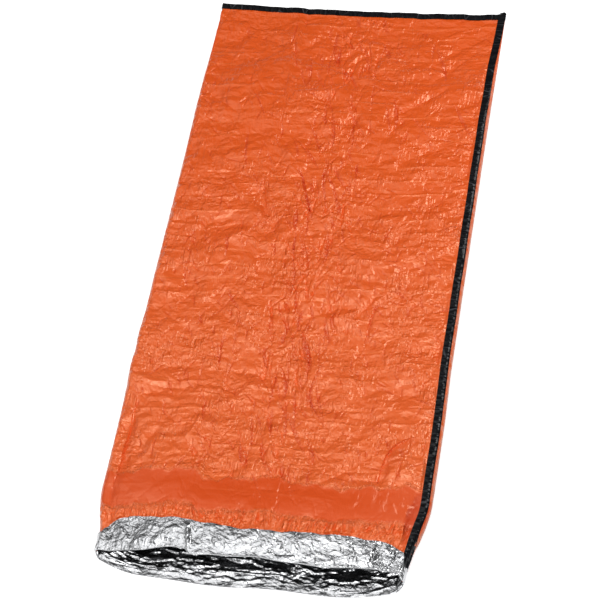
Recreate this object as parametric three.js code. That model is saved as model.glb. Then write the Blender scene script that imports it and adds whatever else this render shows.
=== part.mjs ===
// A film emergency bivy sack lying on its back, drawn in millimetres.
// +X runs across the sack, +Y from the mouth to the foot, +Z up from the ground.
import * as THREE from 'three';

// Film and tape. Both are drawn far thicker than they are made, so that each is a solid.
const FILM = 0.9;
const GAP = 0.4;
const SIDE_GAP = 1.2;
const TAPE_WIDTH = 22;
// The side tape is laid off centre on its seam, so that more of it holds the wrapped edge.
const TAPE_OFFSET = 4.5;

// Outline of the filled sack as it lies.
const HALF_WIDTH = 452;
const MOUTH_NARROWING = 27;
const NARROWS_FROM = -640;
const FOOT_Y = 1014.5;
const LOWER_LIP_Y = -1016;
const UPPER_LIP_Y = -967;
const MOUTH_CORNER_Y = -962;
// How far each lip is drawn back from its middle to its ends.
const UPPER_LIP_BACK = 6;
const LOWER_LIP_BACK = 40;

// Heights of the upper film over the ground.
const SIDE_HEIGHT = 42;
const BODY_CROWN_RISE = 6;
const LIP_CROWN_RISE = 44;
const LIP_SIDE_DROP = 6;
const FOOT_TAPER_FROM = 540;
const FOOT_TAPER_TO = 985;

// The lifting half of the mouth turns about a line straight across the sack.
const HINGE_Y = -300;
const HINGE_GAP = 0.8;

// Width of the rolled edge on each side, before the flat panels begin.
const EDGE_WIDTH = 32;
// The long seam runs this far in from the right outline, under the side tape.
const SEAM_INSET = 22;
const SEAM_DRIFT = 7;

// The foot of each mouth wall lies this far forward of its top, level with the end of the lower lip.
const WALL_LEAN = MOUTH_CORNER_Y - LOWER_LIP_Y - LOWER_LIP_BACK;

// The turned-back band at the mouth.
const CUFF_DEPTH = 90;
const CUFF_LEFT_END_DEPTH = 46;
const CUFF_RIGHT_END_DEPTH = 50;
const CUFF_LIFT = 4.4;
const LOWER_CUFF_BACK_Y = -940;

// Both ends of the lower film ride over something folded under them.
const END_RAISE = FILM + GAP;
const RAMP = 25;
const TAPE_LEG_Y = FOOT_Y - 16.5;

const TO_OUTSIDE = FILM + GAP;

function clamp01(value) {
  return Math.min(Math.max(value, 0), 1);
}

function mix(from, to, share) {
  return from + (to - from) * share;
}

// Smooth step from 0 at `start` to 1 at `end`; `end` may be the smaller of the two.
function ease(start, end, value) {
  const t = clamp01((value - start) / (end - start));
  return t * t * (3 - 2 * t);
}

function halfWidth(y) {
  return HALF_WIDTH - MOUTH_NARROWING * ease(NARROWS_FROM, MOUTH_CORNER_Y, y);
}

// Half width of the flat panels between the two rolled edges.
function panelHalfWidth(y) {
  return halfWidth(y) - EDGE_WIDTH;
}

// Height of the middle of the lower film.
function lowerHeight(y) {
  const overCuff = ease(LOWER_CUFF_BACK_Y + 2 * RAMP, LOWER_CUFF_BACK_Y + RAMP, y);
  const overTape = ease(TAPE_LEG_Y - 2 * RAMP, TAPE_LEG_Y - RAMP, y);
  return FILM / 2 + END_RAISE * (overCuff + overTape);
}

// Height of the middle of the upper film where it meets the rolled edges.
function sideHeight(y) {
  const footHeight = FILM / 2 + END_RAISE + FILM + GAP;
  const taper = ease(FOOT_TAPER_FROM, FOOT_TAPER_TO, y);
  const mouthDrop = LIP_SIDE_DROP * ease(HINGE_Y, MOUTH_CORNER_Y, y);
  return mix(SIDE_HEIGHT, footHeight, taper) - mouthDrop;
}

// How much higher the upper film stands in the middle than at its sides.
function crownRise(y) {
  if (y < HINGE_Y) {
    return LIP_CROWN_RISE * ease(HINGE_Y, UPPER_LIP_Y, y);
  }
  return BODY_CROWN_RISE * ease(HINGE_Y, HINGE_Y + 200, y) * ease(FOOT_TAPER_TO, FOOT_TAPER_FROM, y);
}

// A point on the upper film: `across` runs from -1 at the left edge to 1 at the right.
function upperPoint(across, y) {
  const z = sideHeight(y) + crownRise(y) * (1 - across * across);
  return new THREE.Vector3(across * (panelHalfWidth(y) - SIDE_GAP), y, z);
}

// Front edge of the lower film, curving back towards both mouth corners.
function lowerLipY(across) {
  return LOWER_LIP_Y + LOWER_LIP_BACK * Math.abs(across) ** 8;
}

// Front edge of the upper film.
function upperLipY(across) {
  return UPPER_LIP_Y + UPPER_LIP_BACK * Math.abs(across) ** 6;
}

function cuffDepth(across) {
  if (across < 0) {
    return mix(CUFF_DEPTH, CUFF_LEFT_END_DEPTH, ease(0.8, 1, -across));
  }
  return mix(CUFF_DEPTH, CUFF_RIGHT_END_DEPTH, ease(0.75, 1, across));
}

// Where the long seam lies: it drifts out to the edge as it nears the foot.
function seamX(y) {
  return halfWidth(y) - SEAM_INSET + SEAM_DRIFT * ease(780, FOOT_Y, y);
}

function edgeRadius(y) {
  return (sideHeight(y) - lowerHeight(y)) / 2;
}

// A point on a rolled edge. `turn` is 0 at the inner end of the flat under the roll and 1 at the
// inner end of the flat over it. The last flat stops at `lastX` from the middle of the sack.
function edgePoint(side, turn, y, lastX) {
  const radius = edgeRadius(y);
  const bendX = halfWidth(y) - radius;
  const flat = 0.2;
  if (turn < flat) {
    return new THREE.Vector3(side * mix(panelHalfWidth(y), bendX, turn / flat), y, lowerHeight(y));
  }
  if (turn > 1 - flat) {
    return new THREE.Vector3(side * mix(lastX, bendX, (1 - turn) / flat), y, sideHeight(y));
  }
  const angle = Math.PI * (turn - flat) / (1 - 2 * flat);
  const x = bendX + radius * Math.sin(angle);
  const z = lowerHeight(y) + radius * (1 - Math.cos(angle));
  return new THREE.Vector3(side * x, y, z);
}

function normalAt(surface, u, v) {
  const step = 1e-4;
  const alongU = surface(Math.min(u + step, 1), v).sub(surface(Math.max(u - step, 0), v));
  const alongV = surface(u, Math.min(v + step, 1)).sub(surface(u, Math.max(v - step, 0)));
  return alongU.cross(alongV).normalize();
}

// Turns a middle surface into a closed thin solid. `us` and `vs` are the grid lines, 0 to 1.
function filmGeometry(surface, us, vs) {
  const positions = [];
  const indices = [];
  for (const face of [1, -1]) {
    for (const v of vs) {
      for (const u of us) {
        const point = surface(u, v).addScaledVector(normalAt(surface, u, v), face * FILM / 2);
        positions.push(point.x, point.y, point.z);
      }
    }
  }
  const columns = us.length;
  const rows = vs.length;
  const under = columns * rows;
  const quad = (a, b, c, d) => indices.push(a, b, c, a, c, d);
  for (let row = 0; row < rows - 1; row += 1) {
    for (let column = 0; column < columns - 1; column += 1) {
      const a = row * columns + column;
      const b = a + 1;
      const c = b + columns;
      const d = a + columns;
      quad(a, b, c, d);
      quad(under + d, under + c, under + b, under + a);
    }
  }
  for (let column = 0; column < columns - 1; column += 1) {
    const last = (rows - 1) * columns + column;
    quad(under + column, under + column + 1, column + 1, column);
    quad(last, last + 1, under + last + 1, under + last);
  }
  for (let row = 0; row < rows - 1; row += 1) {
    const left = row * columns;
    const right = left + columns - 1;
    quad(left, left + columns, under + left + columns, under + left);
    quad(under + right, under + right + columns, right + columns, right);
  }
  const geometry = new THREE.BufferGeometry();
  geometry.setAttribute('position', new THREE.Float32BufferAttribute(positions, 3));
  geometry.setIndex(indices);
  geometry.computeVertexNormals();
  return geometry;
}

function evenly(count) {
  return Array.from({ length: count + 1 }, (_, index) => index / count);
}

const orangeFilm = new THREE.MeshStandardMaterial({ color: 0xe0521c, roughness: 0.35 });
const silverFilm = new THREE.MeshStandardMaterial({ color: 0xb8bac0, roughness: 0.2, metalness: 1 });
const blackTape = new THREE.MeshStandardMaterial({ color: 0x15161a, roughness: 0.4 });

function piece(name, material, surface, us, vs) {
  const mesh = new THREE.Mesh(filmGeometry(surface, us, vs), material);
  mesh.name = name;
  return mesh;
}

// Sheet on the ground, from the lower lip to the foot.
function lowerPanel() {
  const surface = (u, v) => {
    const across = 2 * u - 1;
    const y = mix(lowerLipY(across), FOOT_Y, v);
    return new THREE.Vector3(across * (panelHalfWidth(y) - GAP), y, lowerHeight(y));
  };
  const nearLip = [0, 0.015, 0.03, 0.036, 0.043, 0.05, 0.056, 0.062, 0.1, 0.15, 0.2, 0.25];
  const nearFoot = [0.5, 0.8, 0.967, 0.974, 0.98, 1];
  return piece('lower_panel', orangeFilm, surface, evenly(16), [...nearLip, ...nearFoot]);
}

// Upper sheet from the hinge line to the foot.
function upperPanel() {
  const start = HINGE_Y + HINGE_GAP / 2;
  const surface = (u, v) => upperPoint(2 * u - 1, mix(start, FOOT_Y, v));
  return piece('upper_panel', orangeFilm, surface, evenly(12), evenly(28));
}

// Upper sheet from the hinge line to the upper lip, arched over the mouth.
function upperLipPanel() {
  const end = HINGE_Y - HINGE_GAP / 2;
  const surface = (u, v) => {
    const across = 2 * u - 1;
    return upperPoint(across, mix(upperLipY(across) + FILM, end, v));
  };
  return piece('upper_lip_panel', orangeFilm, surface, evenly(20), evenly(18));
}

// Band of the upper sheet turned back over the lip, silver side out.
function upperCuff() {
  const fold = 0.25;
  const radius = CUFF_LIFT / 2;
  const surface = (u, v) => {
    const across = (2 * u - 1) * 0.985;
    const lip = upperLipY(across);
    if (v < fold) {
      const angle = Math.PI * v / fold;
      const point = upperPoint(across, lip);
      point.y -= radius * Math.sin(angle);
      point.z += radius * (1 - Math.cos(angle));
      return point;
    }
    const y = lip + cuffDepth(across) * (v - fold) / (1 - fold);
    const point = upperPoint(across, y);
    point.z += CUFF_LIFT;
    return point;
  };
  const foldRows = evenly(6).map((share) => share * fold);
  const bandRows = evenly(6).slice(1).map((share) => mix(fold, 1, share));
  return piece('upper_cuff', silverFilm, surface, evenly(24), [...foldRows, ...bandRows]);
}

// Band of the lower sheet turned under the lower lip.
function lowerCuff() {
  const surface = (u, v) => {
    const across = (2 * u - 1) * 0.97;
    const y = mix(lowerLipY(across) + 3, LOWER_CUFF_BACK_Y, v);
    return new THREE.Vector3(across * panelHalfWidth(y), y, FILM / 2);
  };
  return piece('lower_cuff', silverFilm, surface, evenly(16), evenly(2));
}

const EDGE_TURNS = [0, 0.2, ...evenly(8).slice(1, 8).map((share) => mix(0.2, 0.8, share)), 0.8, 1];

// One rolled edge of the tube between two stations along the sack.
function rolledEdge(name, side, startY, endY, rows, lastX) {
  const surface = (u, v) => {
    const turn = side > 0 ? 1 - u : u;
    const start = startY === MOUTH_CORNER_Y ? startY - WALL_LEAN * ease(0.5, 0, turn) : startY;
    const y = mix(start, endY, v);
    return edgePoint(side, turn, y, lastX(y));
  };
  const us = side > 0 ? EDGE_TURNS.map((turn) => 1 - turn).reverse() : EDGE_TURNS;
  return piece(name, orangeFilm, surface, us, evenly(rows));
}

function leftEdges() {
  const last = (y) => panelHalfWidth(y);
  return [
    rolledEdge('left_fold_edge', -1, HINGE_Y + GAP / 2, FOOT_Y, 26, last),
    rolledEdge('left_mouth_wall', -1, MOUTH_CORNER_Y, HINGE_Y - GAP / 2, 16, last),
  ];
}

// On the right the lower sheet wraps over the edge and stops at the long seam.
function rightEdges() {
  const last = (y) => seamX(y) + GAP / 2;
  return [
    rolledEdge('right_wrap_edge', 1, HINGE_Y + GAP / 2, FOOT_Y, 26, last),
    rolledEdge('right_mouth_wall', 1, MOUTH_CORNER_Y, HINGE_Y - GAP / 2, 16, last),
  ];
}

// Last strip of the upper sheet, which meets the wrapped edge at the long seam.
function seamMargin() {
  const surface = (u, v) => {
    const y = mix(MOUTH_CORNER_Y, FOOT_Y, v);
    return new THREE.Vector3(mix(panelHalfWidth(y), seamX(y) - GAP / 2, u), y, sideHeight(y));
  };
  return piece('upper_seam_margin', orangeFilm, surface, evenly(1), evenly(36));
}

// Height of the middle of the film at `x` on the top of the right rolled edge.
function rightEdgeTop(x, y) {
  const radius = edgeRadius(y);
  const past = Math.max(x - (halfWidth(y) - radius), 0);
  return sideHeight(y) - (radius - Math.sqrt(Math.max(radius * radius - past * past, 0)));
}

// Tape laid along the long seam. It stands further up where the edge under it slopes more.
function sideSeamTape() {
  const steepest = 0.7;
  const surface = (u, v) => {
    const y = mix(MOUTH_CORNER_Y, TAPE_LEG_Y - 1, v);
    const x = seamX(y) + TAPE_OFFSET + TAPE_WIDTH * (u - 0.5);
    const radius = edgeRadius(y);
    const past = Math.min(Math.max(x - (halfWidth(y) - radius), 0) / radius, steepest);
    const lift = (TO_OUTSIDE + GAP / 4) / Math.sqrt(1 - past * past);
    return new THREE.Vector3(x, y, rightEdgeTop(x, y) + lift);
  };
  return piece('side_seam_tape', blackTape, surface, evenly(8), evenly(48));
}

// Tape folded over the foot edge, holding both sheets.
function footSeamTape() {
  const under = FILM / 2;
  const over = sideHeight(FOOT_Y) + TO_OUTSIDE;
  const radius = (over - under) / 2;
  const leg = 0.3;
  const surface = (u, v) => {
    const x = mix(-HALF_WIDTH, HALF_WIDTH, v);
    if (u < leg) {
      return new THREE.Vector3(x, mix(TAPE_LEG_Y, FOOT_Y, u / leg), over);
    }
    if (u > 1 - leg) {
      return new THREE.Vector3(x, mix(TAPE_LEG_Y, FOOT_Y, (1 - u) / leg), under);
    }
    const angle = Math.PI * (u - leg) / (1 - 2 * leg);
    const middle = (over + under) / 2;
    return new THREE.Vector3(x, FOOT_Y + radius * Math.sin(angle), middle + radius * Math.cos(angle));
  };
  const bend = evenly(6).map((share) => mix(leg, 1 - leg, share));
  return piece('foot_seam_tape', blackTape, surface, [0, ...bend, 1], evenly(12));
}

// Tail of the side tape carried over the foot tape at the corner.
function cornerTape() {
  const z = sideHeight(FOOT_Y) + 2 * TO_OUTSIDE + GAP / 4;
  const surface = (u, v) => {
    const y = mix(TAPE_LEG_Y - TAPE_WIDTH, FOOT_Y + 1, v);
    const x = seamX(FOOT_Y) + TAPE_OFFSET + TAPE_WIDTH * (u - 0.5);
    return new THREE.Vector3(x, y, z + 0.6 * GAP);
  };
  return piece('corner_tape_tail', blackTape, surface, evenly(2), evenly(3));
}

const group = new THREE.Group();
group.name = 'bivy_sack';
group.add(lowerPanel(), upperPanel(), upperLipPanel(), upperCuff(), lowerCuff());
group.add(...leftEdges(), ...rightEdges(), seamMargin());
group.add(sideSeamTape(), footSeamTape(), cornerTape());

export default group;
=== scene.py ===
import math

import bpy
import numpy as np
from mathutils import Matrix, Vector
from mathutils.geometry import delaunay_2d_cdt


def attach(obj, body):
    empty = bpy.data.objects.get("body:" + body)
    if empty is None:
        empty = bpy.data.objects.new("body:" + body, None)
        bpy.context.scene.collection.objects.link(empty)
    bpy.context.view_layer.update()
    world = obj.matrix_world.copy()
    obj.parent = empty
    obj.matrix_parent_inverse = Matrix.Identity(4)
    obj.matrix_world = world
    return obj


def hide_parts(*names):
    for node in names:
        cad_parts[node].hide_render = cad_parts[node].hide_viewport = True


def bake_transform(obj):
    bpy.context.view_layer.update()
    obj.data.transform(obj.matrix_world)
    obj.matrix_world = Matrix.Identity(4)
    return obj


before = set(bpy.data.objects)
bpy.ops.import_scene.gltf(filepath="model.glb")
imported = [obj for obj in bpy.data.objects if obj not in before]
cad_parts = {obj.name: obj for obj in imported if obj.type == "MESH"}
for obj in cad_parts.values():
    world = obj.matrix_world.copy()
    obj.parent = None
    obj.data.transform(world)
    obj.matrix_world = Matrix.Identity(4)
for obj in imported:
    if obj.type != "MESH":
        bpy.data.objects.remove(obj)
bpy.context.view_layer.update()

# The sack lies on its back, in metres: +X across it to its taped side, +Y from the mouth to the foot, +Z up.
HALF_WIDTH = 0.452
FOOT_Y = 1.0145
FILM_END_Y = FOOT_Y - 0.009
LOWER_LIP_Y = -1.018
UPPER_LIP_Y = -0.967
MOUTH_CORNER_Y = -0.965
HINGE_Y = -0.30
SIDE_HEIGHT = 0.040
BODY_CROWN_RISE = 0.006
LIP_CROWN_RISE = 0.036
FOOT_TAPER_FROM = 0.50
FOOT_TAPER_TO = 0.99
EDGE_WIDTH = 0.032
SEAM_INSET = 0.022
SEAM_DRIFT = 0.007
SEAM_MOUTH_DRIFT = 0.012
TAPE_WIDTH = 0.022
TAPE_OFFSET = 0.0045

# Thickness of the film and the tape, radius of the fold at the lip, and the size of the flat sheet.
FILM = 0.0005
TAPE = 0.0006
ROLL_RADIUS = 0.0018
WALL_ROLL_RADIUS = 0.0036

# The step a point would take when the mouth lifts: 1 / BLEND_LENGTH for each metre from the hinge toward the
# mouth, and BLEND_RISE for each metre above BLEND_HEIGHT. bend_with_mouth works it out but does not apply it.
BLEND_LENGTH = 0.45
BLEND_RISE = 45.0

# Edges that bend by more than this many degrees are drawn sharp.
CREASE_ANGLE = 4


def ease(start, end, value):
    t = np.clip((value - start) / (end - start), 0, 1)
    return t * t * (3 - 2 * t)


def mix(low, high, share):
    return low + (high - low) * share


# ---- crumple fields: heights over the flat sheet, on a fine raster ----

RASTER = 0.0015
JITTER = 0.45
# The packing folds straight across the sheet, and the waves in them, as (size, turns by x, turns by y).
ROW_SPACING = 0.049
ROW_WOBBLES = ((0.0026, 5.0, 1.7), (0.0006, 29.0, 5.0))
# The almost smooth strip behind the cuff, in metres from the lip, and how soft its two edges are.
SMOOTH_FROM = 0.122
SMOOTH_TO = 0.247
SMOOTH_START_SOFT = 0.018
SMOOTH_END_SOFT = 0.016


def row_count(x, y):
    """Counts the folds that run across the sheet: it is a whole number on each of them."""
    wobble = sum(size * np.sin(by_x * x + by_y * y) for size, by_x, by_y in ROW_WOBBLES)
    return (y + wobble) / ROW_SPACING


def in_smooth_band(x, from_lip):
    """1 on the strip behind the cuff that is pulled almost smooth, 0 elsewhere. Its edges are ragged."""
    ragged = 0.006 * np.sin(19 * x + 1) + 0.005 * np.sin(53 * x) + 0.004 * np.sin(131 * x + 2)
    start = SMOOTH_FROM + 0.5 * ragged
    end = SMOOTH_TO + ragged
    return ease(start, start + SMOOTH_START_SOFT, from_lip) * ease(end, end - SMOOTH_END_SOFT, from_lip)


def raster_span(a, b, margin, count):
    """The first and last raster lines within a margin of the stretch from a to b."""
    first = max(int((min(a, b) - margin) / RASTER), 0)
    last = min(int((max(a, b) + margin) / RASTER) + 2, count)
    return first, max(first, last)


class Field:
    """Heights over a flat sheet, read anywhere with read(x, y)."""

    def __init__(self, width, length):
        self.width = width
        self.length = length
        self.data = np.zeros((int(length / RASTER) + 2, int(width / RASTER) + 2))

    def read(self, x, y):
        column = np.clip(np.asarray(x) / RASTER, 0, self.data.shape[1] - 1.001)
        row = np.clip(np.asarray(y) / RASTER, 0, self.data.shape[0] - 1.001)
        c, r = column.astype(int), row.astype(int)
        fc, fr = column - c, row - r
        d = self.data
        low = d[r, c] * (1 - fc) + d[r, c + 1] * fc
        high = d[r + 1, c] * (1 - fc) + d[r + 1, c + 1] * fc
        return low * (1 - fr) + high * fr

    def add_facets(self, spacing, height, seed, stretch=1.0):
        """Flat facets with sharp edges between them, about `spacing` across."""
        rng = np.random.RandomState(seed)
        sx, sy = spacing * stretch, spacing / stretch
        nx, ny = int(self.width / sx) + 3, int(self.length / sy) + 3
        gx, gy = np.meshgrid(np.arange(nx) - 0.5, np.arange(ny) - 0.5)
        px = (gx + rng.uniform(-JITTER, JITTER, gx.shape)) * sx
        py = (gy + rng.uniform(-JITTER, JITTER, gy.shape)) * sy
        points = [Vector((a, b)) for a, b in zip(px.ravel(), py.ravel())]
        verts, _, faces, *_ = delaunay_2d_cdt(points, [], [], 0, 1e-7)
        heights = rng.uniform(-1, 1, len(verts)) * height
        rows, columns = self.data.shape
        for face in faces:
            (x0, y0), (x1, y1), (x2, y2) = (verts[i] / RASTER for i in face)
            left, right = max(int(min(x0, x1, x2)), 0), min(int(max(x0, x1, x2)) + 2, columns)
            low, high = max(int(min(y0, y1, y2)), 0), min(int(max(y0, y1, y2)) + 2, rows)
            det = (y1 - y2) * (x0 - x2) + (x2 - x1) * (y0 - y2)
            if left >= right or low >= high or abs(det) < 1e-9:
                continue
            X, Y = np.meshgrid(np.arange(left, right), np.arange(low, high))
            a = ((y1 - y2) * (X - x2) + (x2 - x1) * (Y - y2)) / det
            b = ((y2 - y0) * (X - x2) + (x0 - x2) * (Y - y2)) / det
            c = 1 - a - b
            inside = (a >= 0) & (b >= 0) & (c >= 0)
            value = a * heights[face[0]] + b * heights[face[1]] + c * heights[face[2]]
            window = self.data[low:high, left:right]
            window[inside] += value[inside]
        return self

    def add_rows(self, height, seed, stations=10):
        """Straight folds across the sheet, one row after another, each broken into a few tilts."""
        rng = np.random.RandomState(seed)
        rows, columns = self.data.shape
        x = np.arange(columns) * RASTER - self.width / 2
        y = np.arange(rows) * RASTER
        count = row_count(x, y[:, None])
        lines = int(self.length / ROW_SPACING) + 4
        levels = []
        for _ in range(lines):
            moved = np.sort(rng.uniform(-0.52, 0.52, stations) * self.width)
            levels.append(np.interp(x, moved, rng.uniform(-1, 1, stations) * height))
        levels = np.array(levels)
        whole = np.floor(count).astype(int)
        share = count - whole
        across = np.arange(columns)
        self.data += levels[whole + 1, across] * (1 - share) + levels[whole + 2, across] * share
        return self

    def around(self, start, end, margin):
        """The part of the raster round a line, and how far along it and beside it each place lies."""
        (x0, y0), (x1, y1) = start, end
        rows, columns = self.data.shape
        left, right = raster_span(x0, x1, margin, columns)
        low, high = raster_span(y0, y1, margin, rows)
        X, Y = np.meshgrid(np.arange(left, right) * RASTER, np.arange(low, high) * RASTER)
        dx, dy = x1 - x0, y1 - y0
        length = math.hypot(dx, dy)
        along = ((X - x0) * dx + (Y - y0) * dy) / (length * length)
        beside = ((X - x0) * dy - (Y - y0) * dx) / length
        return self.data[low:high, left:right], along, beside

    def add_crease(self, start, end, height, reach):
        """A sharp fold from start to end that dies away at both ends and to both sides."""
        window, along, beside = self.around(start, end, reach)
        middle = np.clip(1 - np.abs(2 * along - 1), 0, 1) ** 0.5
        window += height * np.clip(1 - np.abs(beside) / reach, 0, 1) ** 1.5 * middle

    def add_wedge(self, start, end, width, near, far):
        """A long lens-shaped facet beside a line: it goes evenly from `near`, on the line, to `far`."""
        window, along, beside = self.around(start, end, width)
        along = np.clip(along, 0, 1)
        here = width * np.sin(math.pi * along ** 0.7)
        share = beside / np.maximum(here, 1e-6)
        inside = (share >= 0) & (share <= 1) & (along > 0) & (along < 1)
        window += np.where(inside, mix(near, far, share) * (here / width), 0)


# ---- the shape of the filled sack ----

# How far the left outline and the right one come in, along the body and at the mouth.
LEFT_SLACK = 0.002
LEFT_BODY_PULL = 0.005
LEFT_MOUTH_PULL = 0.031
RIGHT_BODY_BULGE = 0.004
RIGHT_MOUTH_PULL = 0.048
FOOT_BOW = 0.013
FOOT_TIP = 0.007
FLAT_FOOT_HEIGHT = 0.0036
FLOOR_GAP = 0.0008
UNDER_BAND_RISE = 0.0062
LEFT_CORNER_RISE = 0.017
BEHIND_CUFF_RISE = 0.010
SWELL_HEIGHT = 0.0042
SWELL_WAVES = (0.45, 5.1, 3.3, 0.4), (0.35, -7.7, 5.9, 1.9), (0.30, 11.3, 8.7, 4.2)
LIP_RIGHT_END = 0.014
LIP_PLEAT = 0.014
PLEAT_Q = -0.385


def half_width(y, side=1):
    """Distance from the middle line to the left (side -1) or right (side 1) outline."""
    left = HALF_WIDTH - LEFT_SLACK - LEFT_BODY_PULL * ease(0.9, 0.2, y)
    left = left - LEFT_BODY_PULL * ease(-0.3, -0.65, y) - LEFT_MOUTH_PULL * ease(-0.77, -0.96, y)
    right = HALF_WIDTH + RIGHT_BODY_BULGE * ease(-0.30, -0.50, y) - RIGHT_MOUTH_PULL * ease(-0.74, -0.98, y)
    return np.where(np.asarray(side) > 0, right, left)


def foot_shift(x, y):
    """How far the foot lies back from a straight line: it bows in, and its right corner is drawn out."""
    bow = FOOT_BOW * np.clip(1 - ((x - 0.08) / 0.47) ** 2, 0, 1) * ease(0.80, 1.0, y)
    tip = FOOT_TIP * ease(0.425, 0.450, x) * ease(0.985, FOOT_Y, y)
    return tip - bow


def side_height(y):
    return mix(SIDE_HEIGHT, FLAT_FOOT_HEIGHT, ease(FOOT_TAPER_FROM, FOOT_TAPER_TO, y))


def floor_height(k, y):
    """The lower sheet rides over the band folded under it, and lifts in the left mouth corner."""
    band = UNDER_BAND_RISE * ease(-0.91, -1.005, y)
    corner = LEFT_CORNER_RISE * ease(-0.74, -0.99, k) * ease(-0.86, -0.96, y)
    return FLOOR_GAP + band + corner


def edge_radius(k, y):
    """Radius of the rolled edge on the side that k is on."""
    return np.maximum(side_height(y) - floor_height(np.sign(k) * 1.5, y), 0.0012) / 2


def crown_rise(y):
    body = BODY_CROWN_RISE * ease(HINGE_Y, HINGE_Y + 0.3, y) * ease(FOOT_TAPER_TO, FOOT_TAPER_FROM, y)
    mouth = LIP_CROWN_RISE * ease(HINGE_Y, UPPER_LIP_Y, y)
    behind_cuff = BEHIND_CUFF_RISE * ease(-0.72, -0.81, y) * ease(UPPER_LIP_Y, -0.89, y)
    return body + mouth + behind_cuff


def seam_x(y):
    foot = SEAM_DRIFT * ease(0.78, FOOT_Y, y)
    mouth = SEAM_MOUTH_DRIFT * ease(-0.80, -0.92, y)
    return half_width(y) - SEAM_INSET + foot + mouth


def swell(x, y):
    """The slow rise and fall of the upper sheet."""
    waves = sum(size * np.sin(by_x * x + by_y * y + start) for size, by_x, by_y, start in SWELL_WAVES)
    inside = ease(0.43, 0.33, np.abs(x)) * ease(FOOT_Y, 0.75, y)
    return SWELL_HEIGHT * waves * inside


def upper_height(x, y):
    reach = half_width(y, x) - EDGE_WIDTH
    s = np.clip(np.abs(x) / reach, 0, 1)
    return side_height(y) + crown_rise(y) * (1 - s ** 3) + swell(x, y)


def upper_lip_y(q):
    """The lip is drawn back toward the corners, and where a pleat gathers it left of the middle."""
    outward = np.clip(np.abs(q), 0, 1)
    corner = (MOUTH_CORNER_Y - UPPER_LIP_Y) * outward ** 6
    right_end = LIP_RIGHT_END * ease(0.6, 0.9, q) * ease(1.3, 1.0, q)
    wave = 0.003 * np.sin(9 * q + 1.0) + 0.0015 * np.sin(21 * q)
    pleat = LIP_PLEAT * ease(PLEAT_Q + 0.015, PLEAT_Q - 0.025, q) * ease(-0.80, -0.45, q)
    return UPPER_LIP_Y + corner + (wave + pleat) * (1 - outward ** 4) + right_end


def normals(P):
    """Unit normals of a grid of points, rows along the sack and columns across it."""
    across = np.gradient(P, axis=1)
    along = np.gradient(P, axis=0)
    n = np.cross(across, along)
    return n / np.maximum(np.linalg.norm(n, axis=2, keepdims=True), 1e-12)


def stack(*layers):
    """Joins layers, each a grid, a row or one number, into a grid of points or vectors."""
    return np.stack(np.broadcast_arrays(*layers), axis=-1)


# ---- mesh building ----

def put(name, data):
    thing = bpy.data.objects.new(name, data)
    bpy.context.scene.collection.objects.link(thing)
    return thing


def new_mesh(name, points, faces, attributes):
    """A mesh of quads or triangles with vector attributes on its points."""
    mesh = bpy.data.meshes.new(name)
    corners = faces.shape[1]
    mesh.vertices.add(len(points))
    mesh.vertices.foreach_set("co", points.astype(np.float32).ravel())
    mesh.loops.add(corners * len(faces))
    mesh.loops.foreach_set("vertex_index", faces.astype(np.int32).ravel())
    mesh.polygons.add(len(faces))
    mesh.polygons.foreach_set("loop_start", (np.arange(len(faces)) * corners).astype(np.int32))
    mesh.polygons.foreach_set("loop_total", np.full(len(faces), corners, np.int32))
    for key, values in attributes.items():
        layer = mesh.attributes.new(key, "FLOAT_VECTOR", "POINT")
        layer.data.foreach_set("vector", values.astype(np.float32).ravel())
    mesh.update(calc_edges=True)
    return mesh


def grid_faces(rows, columns):
    index = np.arange(rows * columns).reshape(rows, columns)
    a, b, c, d = index[:-1, :-1], index[:-1, 1:], index[1:, 1:], index[1:, :-1]
    return np.stack([a, b, c, d], -1).reshape(-1, 4)


def vectors(mesh, key):
    values = np.zeros(len(mesh.vertices) * 3, np.float32)
    mesh.attributes[key].data.foreach_get("vector", values)
    return values.reshape(-1, 3).astype(float)


def simplified(points, faces, attributes, triangles):
    """The same sheet in triangles: given a number, large ones on flats and small ones along creases."""
    mesh = new_mesh("sheet_grid", points, faces, attributes)
    holder = put("sheet_grid", mesh)
    if triangles and triangles < 2 * len(faces):
        modifier = holder.modifiers.new("simplify", "DECIMATE")
        modifier.ratio = triangles / (2 * len(faces))
        modifier.use_collapse_triangulate = True
    else:
        holder.modifiers.new("simplify", "TRIANGULATE")
    graph = bpy.context.evaluated_depsgraph_get()
    result = bpy.data.meshes.new_from_object(holder.evaluated_get(graph))
    co = np.zeros(len(result.vertices) * 3, np.float32)
    result.vertices.foreach_get("co", co)
    corners = np.zeros(len(result.polygons) * 3, np.int32)
    result.polygons.foreach_get("vertices", corners)
    kept = {key: vectors(result, key) for key in attributes}
    bpy.data.objects.remove(holder)
    bpy.data.meshes.remove(mesh)
    bpy.data.meshes.remove(result)
    return co.reshape(-1, 3).astype(float), corners.reshape(-1, 3), kept


def rim_edges(faces):
    """The open edges of a triangle sheet, each running the way its face does."""
    edges = np.concatenate([faces[:, [0, 1]], faces[:, [1, 2]], faces[:, [2, 0]]]).astype(np.int64)
    size = faces.max() + 1
    forward = edges[:, 0] * size + edges[:, 1]
    backward = edges[:, 1] * size + edges[:, 0]
    return edges[~np.isin(forward, backward)]


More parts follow.
